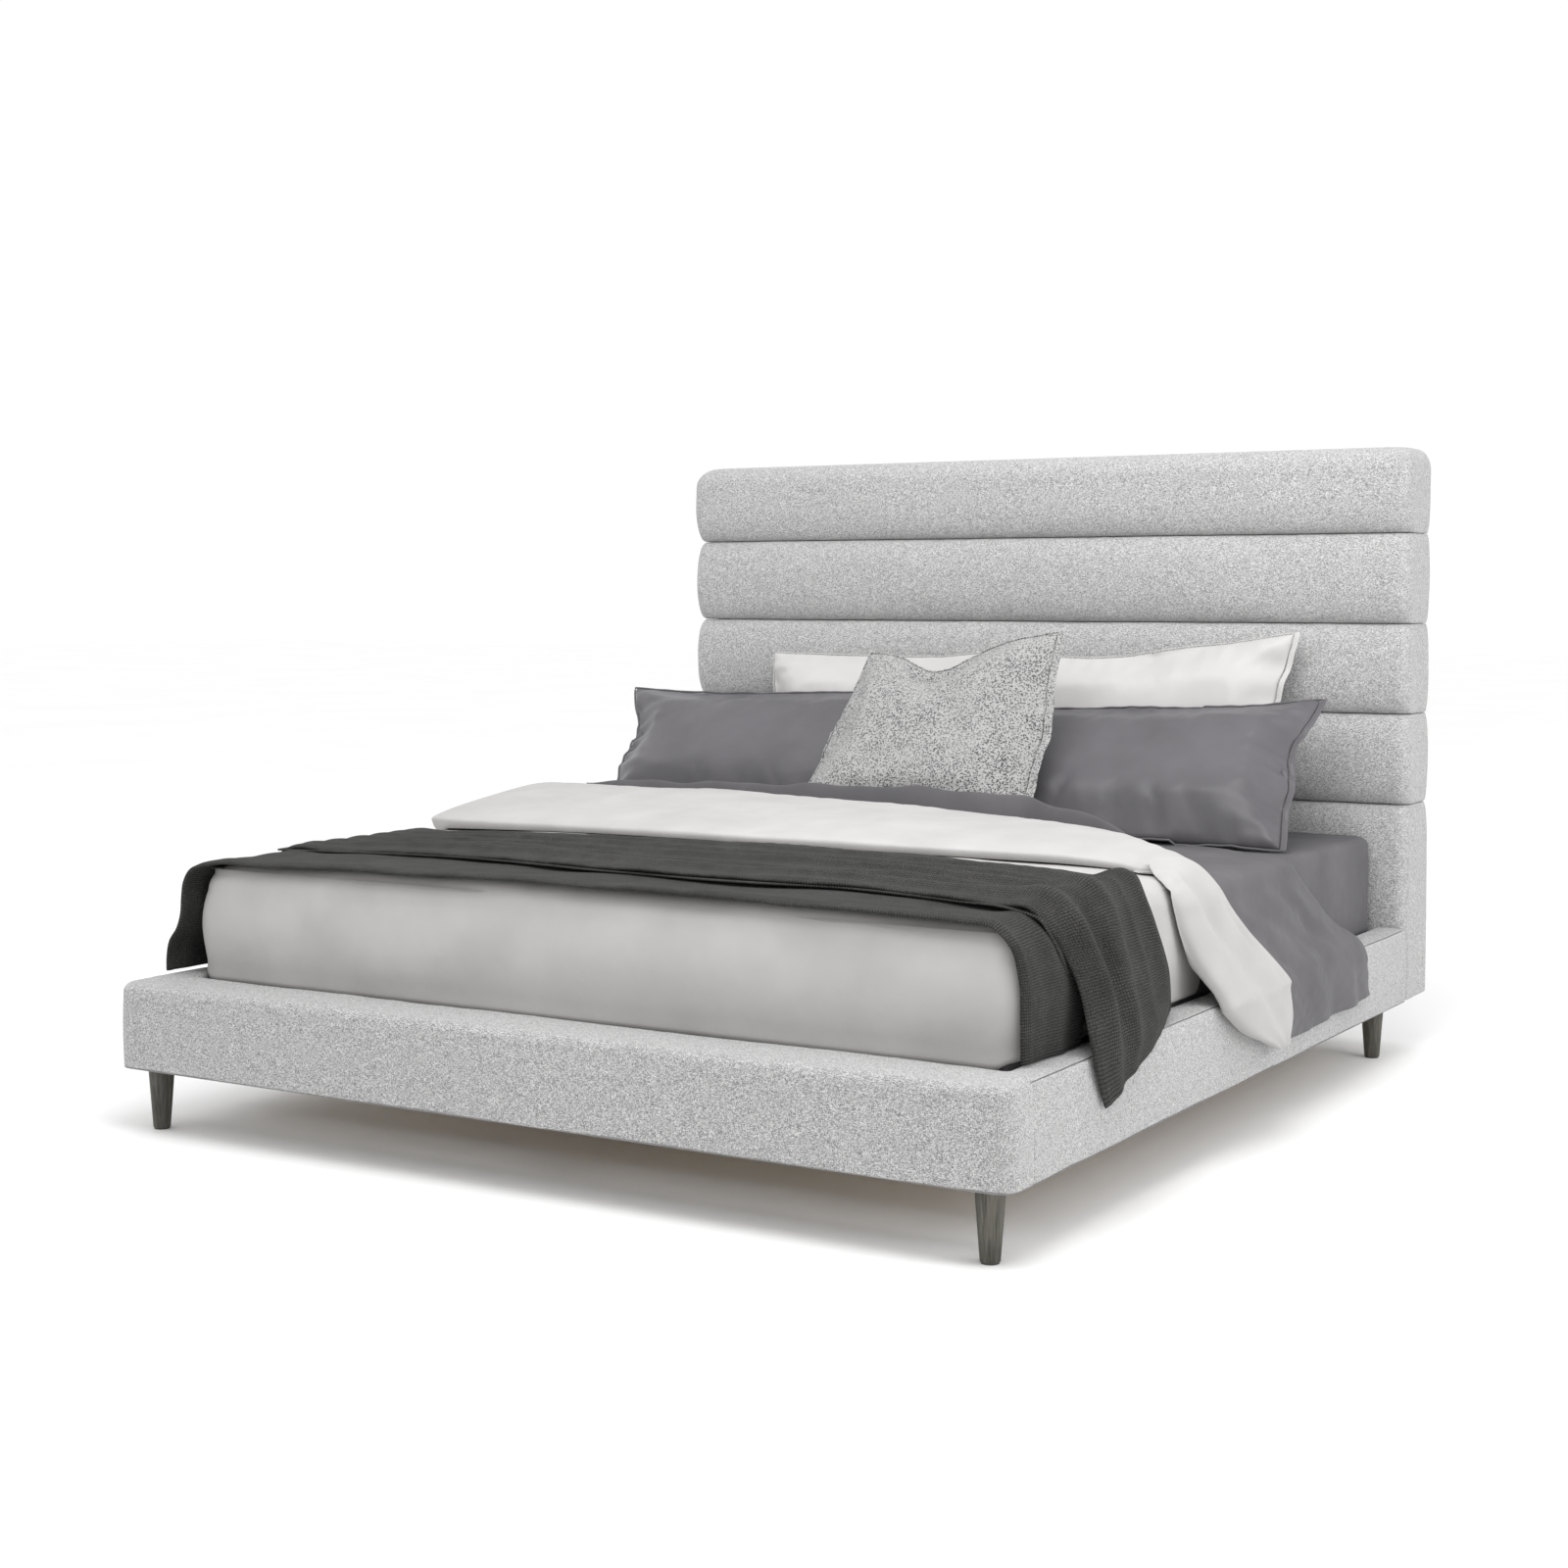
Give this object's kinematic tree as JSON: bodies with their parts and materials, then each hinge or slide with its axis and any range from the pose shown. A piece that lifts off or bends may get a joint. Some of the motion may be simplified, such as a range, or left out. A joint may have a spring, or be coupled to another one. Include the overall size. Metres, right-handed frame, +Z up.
{
  "type": "upholstered bed",
  "caption": "Upholstered platform bed with a tall horizontally channelled headboard, padded rails on short tapered legs, slatted base, mattress and layered bedding",
  "frame": {"origin": "on the floor at the middle of the footprint", "axes": "+X to the right of a person at the foot looking at the headboard, +Y from the foot to the headboard, +Z up"},
  "size_m": [2.1395, 2.4, 1.505],
  "materials": {
    "upholstery": "matte",
    "back_fabric": "matte",
    "ticking": "matte",
    "timber": "matte",
    "plywood": "matte",
    "leg_wood": "satin",
    "bracket_steel": "satin",
    "zinc": "satin",
    "glide_plastic": "matte",
    "sheet_grey": "satin",
    "pillow_grey": "satin",
    "pillow_white": "matte",
    "duvet_white": "matte",
    "throw_charcoal": "matte",
    "accent_tweed": "matte"
  },
  "bodies": {
    "frame": {"beam_hangers": "bracket_steel", "bracket_bolts": "zinc", "centre_beam": "timber", "centre_leg_front": "timber", "centre_leg_rear": "timber", "corner_brackets": "bracket_steel", "foot_rail_bottom_board": "plywood", "foot_rail_cover": "upholstery", "foot_rail_front_board": "timber", "foot_rail_rear_board": "timber", "foot_rail_top_board": "plywood", "headboard_back_cover": "back_fabric", "headboard_back_panel": "plywood", "headboard_channel_1": "upholstery", "headboard_channel_2": "upholstery", "headboard_channel_3": "upholstery", "headboard_channel_4": "upholstery", "headboard_cross_rail_bottom": "timber", "headboard_cross_rail_middle": "timber", "headboard_cross_rail_top": "timber", "headboard_face_panel": "plywood", "headboard_lower_panel": "upholstery", "headboard_post_left": "timber", "headboard_post_right": "timber", "ledger_screws": "zinc", "leg_bolts": "zinc", "leg_front_left": "leg_wood", "leg_front_right": "leg_wood", "leg_glides": "glide_plastic", "leg_rear_left": "leg_wood", "leg_rear_right": "leg_wood", "side_rail_core_left": "timber", "side_rail_core_right": "timber", "side_rail_cover_left": "upholstery", "side_rail_cover_right": "upholstery", "slat_01": "timber", "slat_02": "timber", "slat_03": "timber", "slat_04": "timber", "slat_05": "timber", "slat_06": "timber", "slat_07": "timber", "slat_08": "timber", "slat_09": "timber", "slat_10": "timber", "slat_ledger_left": "timber", "slat_ledger_right": "timber", "slat_screws": "zinc"},
    "front_leveller": {"centre_leg_foot_front": "glide_plastic"},
    "rear_leveller": {"centre_leg_foot_rear": "glide_plastic"},
    "made_mattress": {"mattress": "ticking", "fitted_sheet": "sheet_grey", "flat_sheet": "sheet_grey"},
    "duvet_layer": {"duvet": "duvet_white"},
    "throw_layer": {"throw": "throw_charcoal"},
    "white_pillow_left": {"pillow_white_left": "pillow_white"},
    "white_pillow_right": {"pillow_white_right": "pillow_white"},
    "grey_pillow_left": {"pillow_grey_left": "pillow_grey"},
    "grey_pillow_right": {"pillow_grey_right": "pillow_grey"},
    "accent_cushion": {"pillow_accent": "accent_tweed"}
  },
  "joints": [
    {"name": "front_leveller_screw", "type": "slide", "parent": "frame", "child": "front_leveller", "axis": [0, 0, 1], "range_m": [0, 0.012]},
    {"name": "rear_leveller_screw", "type": "slide", "parent": "frame", "child": "rear_leveller", "axis": [0, 0, 1], "range_m": [0, 0.012]},
    {"name": "mattress_lift", "type": "slide", "parent": "frame", "child": "made_mattress", "axis": [0, 0, 1], "range_m": [0, 0.4]},
    {"name": "duvet_lift", "type": "slide", "parent": "made_mattress", "child": "duvet_layer", "axis": [0, 0, 1], "range_m": [0, 0.3]},
    {"name": "throw_lift", "type": "slide", "parent": "duvet_layer", "child": "throw_layer", "axis": [0, 0, 1], "range_m": [0, 0.25]},
    {"name": "white_pillow_left_slide", "type": "slide", "parent": "made_mattress", "child": "white_pillow_left", "axis": [-1, 0, 0], "range_m": [0, 0.25]},
    {"name": "white_pillow_right_slide", "type": "slide", "parent": "made_mattress", "child": "white_pillow_right", "axis": [1, 0, 0], "range_m": [0, 0.25]},
    {"name": "grey_pillow_left_slide", "type": "slide", "parent": "made_mattress", "child": "grey_pillow_left", "axis": [-1, 0, 0], "range_m": [0, 0.2]},
    {"name": "grey_pillow_right_slide", "type": "slide", "parent": "made_mattress", "child": "grey_pillow_right", "axis": [1, 0, 0], "range_m": [0, 0.2]},
    {"name": "accent_cushion_lift", "type": "slide", "parent": "made_mattress", "child": "accent_cushion", "axis": [0, 0, 1], "range_m": [0, 0.3]}
  ]
}
